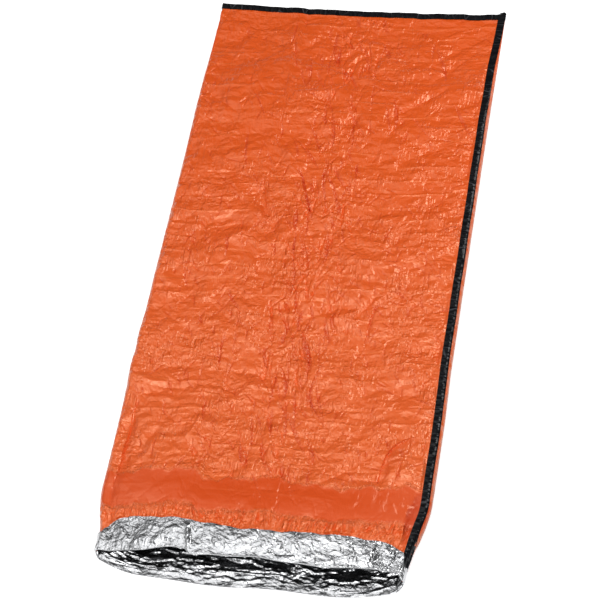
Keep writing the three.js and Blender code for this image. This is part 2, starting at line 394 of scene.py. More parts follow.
def shell(name, middle, place, out, thickness, skins, triangles=None, shade=0.0):
    """A thin closed sheet from a grid of middle points. `skins` are the materials of its outer layer, on the
    side that `out` points to, and of its inner layer. `shade` is the painted shade along the creases."""
    rows, columns = middle.shape[:2]
    folds = stack(shade, 0, 0 * place[..., 0])
    attributes = {"out": out, "sheet_place": place, "sheet_fold_shade": folds}
    attributes = {key: values.reshape(-1, 3) for key, values in attributes.items()}
    points, faces, kept = simplified(middle.reshape(-1, 3), grid_faces(rows, columns), attributes, triangles)
    ways = kept.pop("out")
    ways /= np.maximum(np.linalg.norm(ways, axis=1, keepdims=True), 1e-9)
    count = len(points)
    rim = rim_edges(faces)
    walls = np.concatenate([
        np.stack([rim[:, 1], rim[:, 0], rim[:, 0] + count], -1),
        np.stack([rim[:, 1], rim[:, 0] + count, rim[:, 1] + count], -1),
    ])
    all_faces = np.concatenate([faces, faces[:, ::-1] + count, walls])
    both = np.concatenate([points + ways * thickness / 2, points - ways * thickness / 2])
    both[:, 1] += foot_shift(both[:, 0], both[:, 1])
    doubled = {key: np.concatenate([values, values]) for key, values in kept.items()}
    mesh = new_mesh(name, both, all_faces, doubled)
    slots = np.zeros(len(all_faces), np.int32)
    slots[len(faces):2 * len(faces)] = 1
    mesh.polygons.foreach_set("material_index", slots)
    mesh.polygons.foreach_set("use_smooth", np.arange(len(all_faces)) < 2 * len(faces))
    mesh.set_sharp_from_angle(angle=math.radians(CREASE_ANGLE))
    for skin in skins:
        mesh.materials.append(skin)
    return put(name, mesh)


# ---- materials ----

# Linear colours. A painted sheen makes the film paler toward the mouth where it is crumpled; painted shade
# makes it darker where it is pulled smooth and along creases turned from the light; painted highlights run
# along its folds.
ORANGE_TONES = (0.81, 0.096, 0.0090), (0.82, 0.103, 0.0115)
ORANGE_TINT = (0.85, 1.0, 0.72, 1)
SHEEN_ORANGE = (0.835, 0.126, 0.0240, 1)
SMOOTH_SHADE_ORANGE = (0.74, 0.072, 0.0090, 1)
FOLD_HIGHLIGHT_ORANGE = (0.90, 0.165, 0.040, 1)
SHADED_ORANGE = (0.62, 0.050, 0.008, 1)
SILVER = (0.528, 0.533, 0.545, 1)
BLACK = (0.004, 0.004, 0.005, 1)
LIGHT_LINED_BLACK = (0.08, 0.08, 0.09, 1)

# Width of the painted highlight lines along the folds, in metres.
FOLD_HIGHLIGHT_WIDTH = 0.0023
# How far from the lip, in metres, the painted sheen toward the mouth reaches.
SHEEN_UP_TO = 1.45
LINE_SHARPNESS = 26.0
# Each kind of ruffle, as (its lean in radians, the width of one wrinkle in metres).
RUFFLE_BUNCHES = ((-0.6, 0.0065), (-0.1, 0.0075), (0.5, 0.0060), (1.0, 0.0045))
RUFFLE_STRETCH = 5.5


class Graph:
    """A node tree, with a short method for each thing that the materials are made of."""

    def __init__(self, tree):
        self.nodes = tree.nodes
        self.link = tree.links.new

    def give(self, socket, value):
        """Sets a socket to a value, or links another node's output to it."""
        if isinstance(value, bpy.types.NodeSocket):
            self.link(value, socket)
        else:
            socket.default_value = value

    def fill(self, node, **inputs):
        """Gives each input, named with _ for a space, its value or link."""
        for key, value in inputs.items():
            self.give(node.inputs[key.replace("_", " ")], value)
        return node

    def add(self, kind, **inputs):
        return self.fill(self.nodes.new("ShaderNode" + kind), **inputs)

    def math(self, operation, *values):
        node = self.add("Math")
        node.operation = operation
        for socket, value in zip(node.inputs, values):
            self.give(socket, value)
        return node.outputs[0]

    def clamp(self, value, low=0.0, high=1.0):
        return self.math("MINIMUM", self.math("MAXIMUM", value, low), high)

    def total(self, value, *others):
        for other in others:
            value = self.math("ADD", value, other)
        return value

    def attribute(self, name):
        node = self.add("Attribute")
        node.attribute_name = name
        return node.outputs["Vector"]

    def split(self, vector):
        return self.add("SeparateXYZ", Vector=vector).outputs

    def noise(self, vector, scale, detail):
        return self.add("TexNoise", Vector=vector, Scale=scale, Detail=detail).outputs["Fac"]

    def cells(self, vector, across, along, turn, feature, output):
        """Irregular cells about `across` by `along` metres, turned by `turn` radians."""
        size = (1 / across, 1 / along, 1)
        mapping = self.add("Mapping", Vector=vector, Rotation=(0, 0, turn), Scale=size)
        node = self.add("TexVoronoi", Vector=mapping.outputs[0], Scale=1.0)
        node.voronoi_dimensions = "2D"
        node.feature = feature
        return node.outputs[output]

    def from_cell_edge(self, vector, across, along, turn):
        """How far the place is from its cell's edge, in cells."""
        return self.cells(vector, across, along, turn, "DISTANCE_TO_EDGE", "Distance")

    def roofs(self, vector, across, along, turn, slope):
        """Heights in metres of crisp facets: each cell is a roof or a hollow with level edges."""
        chance = self.cells(vector, across, along, turn, "F1", "Color")
        tilt = self.clamp(self.math("MULTIPLY_ADD", chance, 8.0, -4.0), -1.0, 1.0)
        height = self.math("MULTIPLY", self.from_cell_edge(vector, across, along, turn), tilt)
        return self.math("MULTIPLY", height, slope * min(across, along))

    def patches(self, vector, scale, sharpness, cover, floor=0.0):
        """A mask that is 1 in patches and `floor` between them."""
        value = self.noise(vector, scale, 2.0)
        value = self.math("MULTIPLY_ADD", value, sharpness, 0.5 - sharpness * (1 - cover))
        return self.clamp(value, floor)

    def masked(self, value, mask):
        return self.math("MULTIPLY", value, mask)

    def ramp(self, value, stops):
        node = self.add("ValToRGB", Fac=value)
        elements = node.color_ramp.elements
        while len(elements) < len(stops):
            elements.new(0.5)
        for element, (position, colour) in zip(elements, stops):
            element.position = position
            element.color = (*colour, 1)
        return node.outputs[0]

    def toward(self, share, colour, other):
        """The colour, moved toward the other colour by a share of the way."""
        node = self.add("Mix")
        node.data_type = "RGBA"
        return self.fill(node, Factor=share, A=colour, B=other).outputs["Result"]

    def bump(self, height):
        """Turns a height in metres into a surface normal."""
        return self.add("Bump", Strength=1.0, Distance=1.0, Height=height).outputs["Normal"]


def new_material(name, **settings):
    """A Principled material with these settings. Gives it, its graph and its shader."""
    material = bpy.data.materials.new(name)
    material.use_nodes = True
    graph = Graph(material.node_tree)
    graph.nodes.clear()
    shader = graph.add("BsdfPrincipled", **settings)
    graph.add("OutputMaterial", Surface=shader.outputs[0])
    return material, graph, shader


def near_fold(graph, vector):
    """How far the nearest fold across the sheet is, in metres: the same folds as in row_count."""
    place = graph.split(vector)
    x, y = place["X"], place["Y"]
    value = y
    for size, by_x, by_y in ROW_WOBBLES:
        phase = graph.math("MULTIPLY_ADD", x, by_x, graph.math("MULTIPLY", y, by_y))
        value = graph.math("MULTIPLY_ADD", graph.math("SINE", phase), size, value)
    count = graph.math("MULTIPLY_ADD", value, 1 / ROW_SPACING, 0.5)
    past = graph.math("SUBTRACT", graph.math("FRACT", count), 0.5)
    return graph.math("MULTIPLY", graph.math("ABSOLUTE", past), ROW_SPACING)


def fold_highlight_mask(graph, vector, busy):
    """A mask for the painted highlights along the folds across the sheet, in patches."""
    line = graph.math("MULTIPLY_ADD", near_fold(graph, vector), -1.0 / FOLD_HIGHLIGHT_WIDTH, 1.0)
    line = graph.masked(graph.clamp(line), graph.patches(vector, 7.0, 6.0, 0.5))
    return graph.masked(line, busy)


def ruffles(graph, vector):
    """Bunches of fine short wrinkles that lean this way and that, in patches."""
    bunches = []
    for number, (lean, width) in enumerate(RUFFLE_BUNCHES):
        shift = graph.add("Mapping", Vector=vector, Location=(3.7 * number, 1.3 * number, 0))
        shifted = shift.outputs[0]
        fine = graph.roofs(shifted, width, RUFFLE_STRETCH * width, lean, 0.27)
        bunches.append(graph.masked(fine, graph.patches(shifted, 9.0, 8.0, 0.42)))
    return graph.total(*bunches)


def orange_film():
    """Glossy orange film. How crumpled it is comes in the third number of sheet_place."""
    material, graph, shader = new_material("orange_film", Metallic=0.08, Roughness=0.28,
                                           Specular_IOR_Level=0.92, Specular_Tint=ORANGE_TINT)
    vector = graph.attribute("sheet_place")
    place = graph.split(vector)
    busy = place["Z"]

    streaks = graph.roofs(vector, 0.16, 0.032, 0.02, 0.10)
    coarse = graph.roofs(vector, 0.036, 0.024, 0.2, 0.14)
    middle = graph.roofs(vector, 0.012, 0.010, -0.3, 0.18)
    middle = graph.masked(middle, graph.patches(vector, 6.0, 5.0, 0.5, 0.25))
    height = graph.total(streaks, coarse, middle, ruffles(graph, vector))
    height = graph.masked(height, busy)

    tone = graph.noise(vector, 5.0, 3.0)
    colour = graph.ramp(tone, [(0.3, ORANGE_TONES[0]), (0.7, ORANGE_TONES[1])])
    # Painted sheen: the film is paler toward the mouth where it is crumpled.
    toward_mouth = graph.clamp(graph.math("SUBTRACT", SHEEN_UP_TO, place["Y"]))
    crumple_share = graph.clamp(busy)
    colour = graph.toward(graph.masked(toward_mouth, crumple_share), colour, SHEEN_ORANGE)
    # Painted shade: the film is darker where it is pulled smooth, mostly on the strip behind the cuff.
    colour = graph.toward(graph.math("SUBTRACT", 1.0, crumple_share), colour, SMOOTH_SHADE_ORANGE)
    # Painted highlights along the folds across the sheet.
    colour = graph.toward(fold_highlight_mask(graph, vector, busy), colour, FOLD_HIGHLIGHT_ORANGE)
    # Painted shade along the creases and on facets turned from the light.
    shaded = graph.split(graph.attribute("sheet_fold_shade"))["X"]
    colour = graph.toward(graph.clamp(shaded), colour, SHADED_ORANGE)
    graph.fill(shader, Base_Color=colour, Normal=graph.bump(height))
    return material


def silver_film():
    """Bare metallised film, with crisper and finer facets than the orange side."""
    material, graph, shader = new_material("silver_film", Base_Color=SILVER, Metallic=1.0, Roughness=0.2)
    vector = graph.attribute("sheet_place")
    coarse = graph.roofs(vector, 0.030, 0.022, 0.3, 0.08)
    pleats = graph.roofs(vector, 0.009, 0.030, 0.12, 0.12)
    pleats = graph.masked(pleats, graph.patches(vector, 12.0, 6.0, 0.5, 0.1))
    fine = graph.roofs(vector, 0.013, 0.010, -0.4, 0.10)
    finest = graph.roofs(vector, 0.0065, 0.0050, 0.5, 0.10)
    height = graph.masked(graph.total(coarse, pleats, fine, finest), graph.split(vector)["Z"])
    graph.fill(shader, Normal=graph.bump(height))
    return material


def black_tape():
    """Satin black tape with shallow wrinkles and a few faint lighter lines across it."""
    material, graph, shader = new_material("black_tape", Roughness=0.22, Specular_IOR_Level=0.22)
    vector = graph.attribute("sheet_place")
    wrinkles = graph.roofs(vector, 0.040, 0.012, 0.2, 0.24)
    fine = graph.roofs(vector, 0.012, 0.006, -0.2, 0.08)
    # Thin lighter lines across the tape, in patches.
    from_edge = graph.from_cell_edge(vector, 0.110, 0.034, 0.12)
    light_line = graph.clamp(graph.math("MULTIPLY_ADD", from_edge, -LINE_SHARPNESS, 1.0))
    light_line = graph.masked(light_line, graph.patches(vector, 14.0, 6.0, 0.45))
    colour = graph.toward(light_line, BLACK, LIGHT_LINED_BLACK)
    graph.fill(shader, Base_Color=colour, Normal=graph.bump(graph.total(wrinkles, fine)))
    return material


# ---- crumple of the whole sheet ----

FIELD_WIDTH = 0.98
FIELD_LENGTH = 2.1
FINE_REACH = 0.0055
DARK_LINE_REACH = 0.0035
NEAR_MIDDLE = 0.055
ALL_OVER = 0.22


def far_end(x, y, length, lean):
    """The other end of a line from (x, y) that leans from straight up the sheet by `lean` radians."""
    return x + length * math.sin(lean), y + length * math.cos(lean)


def lean_crease(field, x, y, length, lean, height, reach):
    field.add_crease((x, y), far_end(x, y, length, lean), height, reach)


def packing_rows(field, rng, share):
    """The folds straight across the sheet, each with bunches of short wrinkles along it."""
    def fold_level(middle, number):
        y = number * ROW_SPACING
        return y - (row_count(middle, y) - number) * ROW_SPACING

    for number in range(1, int(field.length / ROW_SPACING)):
        x = rng.uniform(0, 0.05)
        while x < field.width:
            run = rng.uniform(0.06, 0.30)
            middle = x - field.width / 2
            level = fold_level(middle, number)
            if rng.uniform() < 0.85:
                height = rng.choice([1, 1, -0.7]) * rng.uniform(0.0006, 0.0013) * share
                end = (x + run, fold_level(middle + run, number))
                field.add_crease((x, level), end, height, rng.uniform(0.005, 0.009))
            if rng.uniform() < 0.7:
                step = rng.uniform(0.007, 0.011)
                lean = rng.uniform(-0.7, 0.7)
                for k in range(rng.randint(4, 14)):
                    length = rng.uniform(0.012, 0.030)
                    start = level + rng.uniform(-0.018, 0.004)
                    height = rng.uniform(0.0005, 0.0010) * share
                    own_lean = lean + rng.normal(0, 0.25)
                    lean_crease(field, x + k * step, start, length, own_lean, height, FINE_REACH)
            x += run * rng.uniform(0.8, 1.2)


def scattered_creases(field, rng, share, count):
    for _ in range(count):
        x = rng.uniform(0, field.width)
        y = rng.uniform(0, field.length)
        height = rng.choice([1, -1]) * rng.uniform(0.0006, 0.0018) * share
        lean = rng.normal(0, 0.45)
        lean_crease(field, x, y, rng.uniform(0.02, 0.08), lean, height, rng.uniform(0.0055, 0.009))


def centre_fans(field, rng, share, count):
    """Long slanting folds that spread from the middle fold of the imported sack."""
    for _ in range(count):
        x = field.width / 2 + rng.normal(0, 0.055)
        y = rng.uniform(0.1, field.length - 0.1)
        lean = rng.normal(-0.2, 0.3) + rng.choice([0, math.pi])
        height = -rng.uniform(0.0012, 0.0032) * share
        reach = rng.uniform(0.005, 0.010)
        length = rng.uniform(0.04, 0.15)
        lean_crease(field, x, y, length, lean, height, reach)
        if rng.uniform() < 0.6:
            lean_crease(field, x, y, length * 0.7, -lean * rng.uniform(0.4, 1.2), height * 0.8, reach)


def wedges(field, shade, rng, count, spread):
    """Long thin facets near the middle fold that turn away from the light, a sharp crease along one side,
    with painted shade that deepens across them.
    """
    for _ in range(count):
        x = field.width / 2 + rng.normal(0, spread)
        y = rng.uniform(0.18, field.length - 0.15)
        length = rng.uniform(0.05, 0.19)
        lean = rng.normal(-0.2, 0.20) + rng.choice([0, math.pi])
        width = rng.uniform(0.005, 0.013)
        end = far_end(x, y, length, lean)
        field.add_wedge((x, y), end, width, 0.0, -0.30 * width)
        depth = rng.uniform(0.3, 0.8)
        shade.add_wedge((x, y), end, width, 0.3 * depth, depth)


def dark_creases(field, shade, rng, count, up_to):
    """Single sharp creases with a line of painted shade along them, anywhere between the cuff and `up_to`."""
    for _ in range(count):
        x, y = rng.uniform(0, field.width), rng.uniform(0.12, up_to)
        length = rng.uniform(0.015, 0.07)
        end = far_end(x, y, length, rng.normal(-0.2, 0.6))
        field.add_crease((x, y), end, -rng.uniform(0.0015, 0.0030), 0.006)
        shade.add_crease((x, y), end, rng.uniform(0.3, 0.8), DARK_LINE_REACH)


def puckers(field, shade, rng):
    """Slanting creases that start at the side tape and at the foot corner beside it."""
    y = 0.2
    while y < field.length - 0.05:
        x = field.width - rng.uniform(0.05, 0.075)
        lean = -rng.uniform(0.6, 2.4)
        length = rng.uniform(0.025, 0.08)
        end = far_end(x, y, length, lean)
        field.add_crease((x, y), end, rng.choice([1, -1]) * rng.uniform(0.0015, 0.0030), 0.007)
        # Some of these creases get a line of painted shade.
        if rng.uniform() < 0.4:
            shade.add_crease((x, y), end, 0.7, DARK_LINE_REACH)
        y += rng.uniform(0.02, 0.07)


def side_troughs(field, shade):
    """Near the mouth the sheet dips along one long fold beside the left edge, sags from the tape, and turns
    away from the light where the tape meets the cuff. Each of these facets also gets painted shade."""
    middle = field.width / 2
    left = (middle - 0.420, 0.12), (middle - 0.408, 0.52), 0.034
    right = (middle + 0.395, 0.40), (middle + 0.300, 0.235), 0.045
    corner = (middle + 0.434, 0.250), (middle + 0.426, 0.050), 0.038
    for place, heights, darkness in (
        (left, (-0.007, 0.0), (0.28, 0.05)),
        (right, (0.0, -0.006), (0.1, 0.3)),
        (corner, (-0.008, 0.0), (0.8, 1.0)),
    ):
        field.add_wedge(*place, *heights)
        shade.add_wedge(*place, *darkness)


def long_diagonals(field, rng, count):
    """Long shallow troughs that lean across the sheet."""
    for _ in range(count):
        x = rng.uniform(0.1, field.width - 0.1)
        y = rng.uniform(0.15, field.length - 0.3)
        lean = rng.choice([-1, 1]) * rng.uniform(0.3, 1.1)
        lean_crease(field, x, y, rng.uniform(0.12, 0.28), lean, -rng.uniform(0.003, 0.006), 0.022)


def clear_smooth_band(shade):
    """No painted crease shade crosses the strip that is pulled smooth."""
    rows, columns = shade.data.shape
    x, y = np.arange(columns) * RASTER - shade.width / 2, np.arange(rows) * RASTER
    shade.data *= 1 - in_smooth_band(x, y[:, None])


def strip_creases(field, rng):
    """Short creases from under the free edge of the cuff to the smooth strip behind it."""
    x = 0.03
    while x < field.width:
        height = rng.choice([1, -1]) * rng.uniform(0.0030, 0.0056)
        start = rng.uniform(0.070, 0.085)
        length = rng.uniform(0.045, 0.070)
        lean_crease(field, x, start, length, rng.normal(0, 0.35), height, FINE_REACH)
        x += rng.uniform(0.006, 0.011)


def upper_crumple():
    """Heights of the crumpled upper sheet, and the shade painted along its creases."""
    field = Field(FIELD_WIDTH, FIELD_LENGTH)
    shade = Field(FIELD_WIDTH, FIELD_LENGTH)
    field.add_facets(0.13, 0.0050, 11)
    field.add_rows(0.0034, 15)
    field.add_facets(0.055, 0.0050, 12, 1.3)
    field.add_facets(0.026, 0.0022, 13)
    rng = np.random.RandomState(14)
    packing_rows(field, rng, 1.6)
    scattered_creases(field, rng, 1.4, 700)
    centre_fans(field, rng, 1.5, 120)
    long_diagonals(field, rng, 26)
    wedges(field, shade, rng, 120, NEAR_MIDDLE)
    wedges(field, shade, rng, 60, ALL_OVER)
    dark_creases(field, shade, rng, 420, field.length)
    dark_creases(field, shade, rng, 420, 1.25)
    puckers(field, shade, rng)
    clear_smooth_band(shade)
    side_troughs(field, shade)
    strip_creases(field, rng)
    return field, shade


def foil_crumple(width, length, seed, spacing, height, creases=0):
    """The stiffer crumple of the silver side: flat facets with small ones among them, and sharp creases."""
    field = Field(width, length)
    field.add_facets(spacing, height, seed)
    field.add_facets(spacing * 0.4, height * 0.35, seed + 1)
    rng = np.random.RandomState(seed + 2)
    for _ in range(creases):
        x, y = rng.uniform(0, width), rng.uniform(0, min(length, 0.35))
        crease = rng.choice([1, -1]) * rng.uniform(0.0007, 0.0018)
        lean_crease(field, x, y, rng.uniform(0.015, 0.05), rng.uniform(-1.5, 1.5), crease, 0.005)
    return field


# ---- the upper film with its turned-back band ----

TOP_COLUMNS = 341
ARC = 16
BODY_ROWS = 780
NEAR_ROWS = 11
NEAR_SHARE = 0.010
BAND_ROWS = 40
FOLD_ROWS = 8
UPPER_TRIANGLES = 300000
LOWER_TRIANGLES = 80000

# The free edge of the turned-back band lies furthest from the lip at two shoulders.
LEFT_SHOULDER_Y = -0.873
MIDDLE_DIP = 0.019
RIGHT_SHOULDER_RISE = 0.013
LEFT_CORNER_DROP = 0.042
RIGHT_CORNER_DROP = 0.018
RIGHT_WALL_DROP = 0.035

UPPER_BAND_LIFT = 0.0062
LOWER_BAND_LIFT = 0.0055
# The share of the film's crumple that shows through the band, and how deep the band's own may dip.
UNDER_BAND = 0.25
DEEPEST_FOIL = 0.0034
ROOM_KEPT = 0.0012


def body_rows():
    """Shares of the way from lip to foot: close together for the first centimetres."""
    near = np.linspace(0, NEAR_SHARE, NEAR_ROWS + 1)[:-1]
    return np.concatenate([near, np.linspace(NEAR_SHARE, 1, BODY_ROWS - NEAR_ROWS)])


def flat_path(points):
    """How far each column lies from the first one, measured over the sheet."""
    steps = np.linalg.norm(np.diff(points, axis=0), axis=1)
    return np.cumsum(np.concatenate([[0], steps]))


def upper_keys():
    left = np.linspace(-1.5, -1, ARC // 2 + 1)[:-1]
    right = np.linspace(1, 1.5, ARC // 2 + 1)[1:]
    return np.concatenate([left, np.linspace(-1, 1, TOP_COLUMNS), right])


def upper_point(q, y):
    """A point of the upper sheet. q runs -1..1 over the top and half a unit further round each edge."""
    q, y = np.broadcast_arrays(q, y)
    radius = edge_radius(q, y)
    top_x = (half_width(y, q) - radius) * np.clip(q, -1, 1)
    angle = np.pi * np.clip(np.abs(q) - 1, 0, 0.5)
    x = top_x + np.sign(q) * radius * np.sin(angle)
    return stack(x, y, upper_height(top_x, y) - radius * (1 - np.cos(angle)))


def upper_cuff_depth(q, lip):
    edge = LEFT_SHOULDER_Y - MIDDLE_DIP * ease(-0.62, 0.0, q) + RIGHT_SHOULDER_RISE * ease(0.0, 0.82, q)
    edge -= LEFT_CORNER_DROP * ease(-0.85, -1.06, q) + 0.003 * ease(-1.0, -1.5, q)
    edge -= RIGHT_CORNER_DROP * ease(0.86, 1.04, q) + RIGHT_WALL_DROP * ease(1.0, 1.28, q)
    ripple = 0.0015 * np.sin(23 * q) + 0.001 * np.sin(47 * q + 1)
    return edge - lip + ripple * ease(0.97, 0.85, np.abs(q))


def with_band(body_fn, keys, lip, depth, radius, lift, crumple, body, body_out, distance):
    """The body with its band before it: the free edge first, then back to the fold and round it to the lip.
    Gives the points, the ways out, and how far each row is from the lip, which is negative on the band."""
    shares = np.linspace(1, 0, BAND_ROWS)[:-1]
    away = shares[:, None] * depth
    band = body_fn(keys, lip + away)
    out = normals(band[::-1])[::-1]
    height = mix(2 * radius, lift, ease(0, 0.03, away)) + crumple(keys, away)
    band = band + out * height[..., None]
    base = body_fn(keys, lip + np.array([[0.0], [0.004]]))
    out0 = normals(np.concatenate([base, base[1:] * 2 - base[:1]]))[0]
    forward = base[1] - base[0]
    forward /= np.linalg.norm(forward, axis=-1, keepdims=True)
    round_off = radius[:, None]
    fold, fold_out = [], []
    for angle in np.linspace(math.pi, 0, FOLD_ROWS)[:-1]:
        cos, sin = math.cos(angle), math.sin(angle)
        fold.append(base[0] + out0 * round_off * (1 - cos) - forward * round_off * sin)
        fold_out.append(out0 * cos + forward * sin)
    middle = np.concatenate([band, np.stack(fold), body])
    flat_y = np.concatenate([-away, np.zeros((FOLD_ROWS - 1, len(keys))), distance])
    return middle, np.concatenate([-out, np.stack(fold_out), body_out]), flat_y


def bend_with_mouth(piece):
    """Bakes the piece's placement into its mesh. The step for riding on the lifted mouth is worked out, but
    the piece is not bent.
    """
    step = np.array([0, -1 / BLEND_LENGTH, BLEND_RISE])
    step /= step @ step
    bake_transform(piece)
    return piece


def upper_strength(q, y, path, distance, from_tape):
    """How much of the crumple shows: less at the edges, the tape, the smooth strip and the lip."""
    still = ease(1.5, 1.05, np.abs(q)) * ease(FOOT_Y - 0.018, FOOT_Y - 0.045, y)
    beside_tape = mix(0.15, 1.0, ease(0.012, 0.022, from_tape))
    smooth_band = 1 - 0.72 * in_smooth_band(path, distance)
    at_lip = mix(0.25, 1.0, ease(0.0, 0.14, distance))
    return mix(1.15, 0.92, ease(0.0, 0.8, y)) * smooth_band * still * beside_tape * at_lip


def upper_busyness(path, flat_y):
    """How strong the fine wrinkles of the material are: most toward the mouth, least on the smooth strip."""
    busy = mix(1.45, 0.95, ease(0.8, 1.7, flat_y))
    busy *= 1 - 0.80 * in_smooth_band(path, flat_y)
    on_strip = ease(0.03, 0.06, flat_y) * ease(SMOOTH_FROM + 0.01, SMOOTH_FROM - 0.01, flat_y)
    return busy * (1 + 0.3 * on_strip)


def film_upper(skins):
    q = upper_keys()
    lip = upper_lip_y(q)
    y = mix(lip, FILM_END_Y, body_rows()[:, None])
    smooth = upper_point(q, y)
    path = flat_path(smooth[BODY_ROWS // 2])
    path -= path[-1] / 2
    field, shade = upper_crumple()
    out = normals(smooth)
    distance = y - lip
    from_tape = np.abs(smooth[..., 0] - seam_x(y) - TAPE_OFFSET)
    strength = upper_strength(q, y, path, distance, from_tape)

    def crumpled(away):
        return field.read(path + field.width / 2, away)

    room = smooth[..., 2] - floor_height(q, y) - ROOM_KEPT
    push = np.maximum(crumpled(distance) * strength, -0.8 * room)
    depth = upper_cuff_depth(q, lip)
    covered = distance < depth + 0.006
    push = np.where(covered, np.minimum(push, UNDER_BAND * crumpled(distance) + 0.0012), push)
    push = np.where(from_tape < 0.014, np.minimum(push, 0.0003), push)
    body = smooth + out * push[..., None]
    foil = foil_crumple(FIELD_WIDTH, 0.2, 31, 0.045, 0.0040, 260)
    pleat = path[np.argmin(np.abs(q - PLEAT_Q))] + foil.width / 2
    foil.add_crease((pleat, 0.0), (pleat - 0.015, 0.07), 0.007, 0.014)

    def band_crumple(keys, away):
        under = crumpled(away) * UNDER_BAND * ease(1.5, 1.38, np.abs(keys))
        own = foil.read(path + foil.width / 2, away) * ease(0.0, 0.02, away)
        own *= ease(1.4, 1.0, np.abs(keys))
        free_edge = mix(0.25, 1.0, ease(0.0, 0.025, depth - away))
        return under + np.maximum(own, -DEEPEST_FOIL) * free_edge

    radius = mix(ROLL_RADIUS, WALL_ROLL_RADIUS, ease(1.0, 1.3, np.abs(q)))
    middle, out, flat_y = with_band(upper_point, q, lip, depth, radius, UPPER_BAND_LIFT, band_crumple,
                                    body, out, distance)
    place = stack(path, flat_y, upper_busyness(path, flat_y))
    # Painted shade along the creases, none on the turned-back band.
    dark = shade.read(path + shade.width / 2, flat_y) * (flat_y > 0)
    return bend_with_mouth(shell("film_upper", middle, place, out, FILM, skins, UPPER_TRIANGLES, dark))


# ---- the lower film, which meets the upper film half way up both rolled edges ----

FLOOR_COLUMNS = 160
TUCK = 0.08
TUCK_INSET = 0.0009
LOWER_FIELD_WIDTH = 1.2
LIP_STREAKS = 420
CORNER_FAN = 13
LEFT_CORNER_K = -1.2
LOWER_BUSYNESS = 1.1


def lower_keys():
    """From the right edge to the left one, so that the outer layer faces down."""
    arc = np.linspace(1, 1.5, ARC // 2 + 1)[1:]
    right = np.concatenate([arc, [1.5 + TUCK]])
    keys = np.concatenate([-right[::-1], np.linspace(-1, 1, FLOOR_COLUMNS), right])
    return keys[::-1]


def lower_point(k, y):
    """A point of the lower sheet. k runs -1..1 along the ground and half a unit further up each edge,
    where the last strip is tucked just inside the upper sheet."""
    k, y = np.broadcast_arrays(k, y)
    radius = edge_radius(k, y)
    tucked = radius - TUCK_INSET * ease(1.44, 1.5, np.abs(k))
    flat_x = (half_width(y, k) - radius) * np.clip(k, -1, 1)
    angle = np.pi * np.clip(np.abs(k) - 1, 0, 0.5 + TUCK)
    x = flat_x + np.sign(k) * tucked * np.sin(angle)
    return stack(x, y, floor_height(k, y) + radius - tucked * np.cos(angle))


def lower_lip_y(k):
    a = np.clip(np.abs(k), 0, 1)
    corner = np.where(k > 0, 0.026 * a ** 6, 0.034 * a ** 5)
    floor = LOWER_LIP_Y + corner + 0.003 * np.sin(8 * k) * (1 - a ** 4)
    return mix(floor, MOUTH_CORNER_Y, ease(0.97, 1.45, np.abs(k)))


def lower_foil(corner):
    """Crumple of the silver floor: long creases along the lip, and a fan of them from the left corner."""
    foil = foil_crumple(LOWER_FIELD_WIDTH, 2.2, 51, 0.042, 0.0040, 500)
    rng = np.random.RandomState(52)
    for _ in range(LIP_STREAKS):
        start = rng.uniform(0, foil.width), rng.uniform(0.002, 0.14)
        height = rng.choice([1, -1]) * rng.uniform(0.0015, 0.0035)
        lean_crease(foil, *start, rng.uniform(0.03, 0.11), rng.normal(1.5, 0.22), height, 0.0065)
    for number in range(CORNER_FAN):
        lean = mix(-1.45, 0.3, number / (CORNER_FAN - 1)) + rng.uniform(-0.05, 0.05)
        length = rng.uniform(0.07, 0.15)
        height = (1 if number % 2 else -1) * rng.uniform(0.003, 0.006)
        lean_crease(foil, corner, 0.002, length, lean, height, 0.010)
    return foil


def film_lower(skins):
    k = lower_keys()
    lip = lower_lip_y(k)
    y = mix(lip, FILM_END_Y, body_rows()[:, None])
    body = lower_point(k, y)
    out = normals(body)
    distance = y - lip
    path = flat_path(body[BODY_ROWS // 2])
    foil = lower_foil(path[np.argmin(np.abs(k - LEFT_CORNER_K))])
    raw = foil.read(path, distance)
    a = np.abs(k)
    on_floor = ease(1.05, 0.96, a)
    on_wall = ease(0.96, 1.05, a) * ease(1.5, 1.35, a)
    near_mouth = mix(0.12, 1.0, ease(-0.6, -0.8, y)) * ease(FOOT_Y, FOOT_Y - 0.05, y)
    lifted = np.clip(raw + 0.0018, -0.001, 0.0075) * mix(0.3, 1.0, ease(0.0, 0.03, distance))
    body[..., 2] += lifted * on_floor * near_mouth
    body -= out * (np.clip(raw, -0.003, 0.003) * 0.6 * on_wall * near_mouth)[..., None]
    depth = np.interp(k, [-1.5, -1.0, -0.9, 0.9, 1.0, 1.5], [0.050, 0.055, 0.07, 0.07, 0.050, 0.043])
    band_foil = foil_crumple(LOWER_FIELD_WIDTH, 0.2, 61, 0.026, 0.0015, 200)

    def band_crumple(keys, away):
        own = band_foil.read(path, away) * ease(0.0, 0.01, away)
        return own * ease(1.5, 1.35, np.abs(keys))

    radius = mix(ROLL_RADIUS, WALL_ROLL_RADIUS, ease(0.95, 1.3, np.abs(k)))
    middle, out, flat_y = with_band(lower_point, k, lip, depth, radius, LOWER_BAND_LIFT, band_crumple,
                                    body, out, distance)
    middle[..., 2] = np.maximum(middle[..., 2], FILM)
    place = stack(path - path[-1] / 2, flat_y, LOWER_BUSYNESS)
    return bend_with_mouth(shell("film_lower", middle, place, out, FILM, skins, LOWER_TRIANGLES))


# ---- tapes ----

SIDE_TAPE_LIFT = 0.0013
FOOT_FOLD_RADIUS = 0.0022
FOOT_LEG = 0.021
FOOT_TAPE_MIDDLE = 0.0031
TAIL_HEIGHT = 0.0068


def right_top(x, y):
    """Height of the film on top of the right edge, where it starts to roll over."""
    radius = edge_radius(1.0, y)
    past = np.clip(x - (half_width(y, 1) - radius), 0, radius * 0.98)
    return side_height(y) - (radius - np.sqrt(np.maximum(radius ** 2 - past ** 2, 0)))


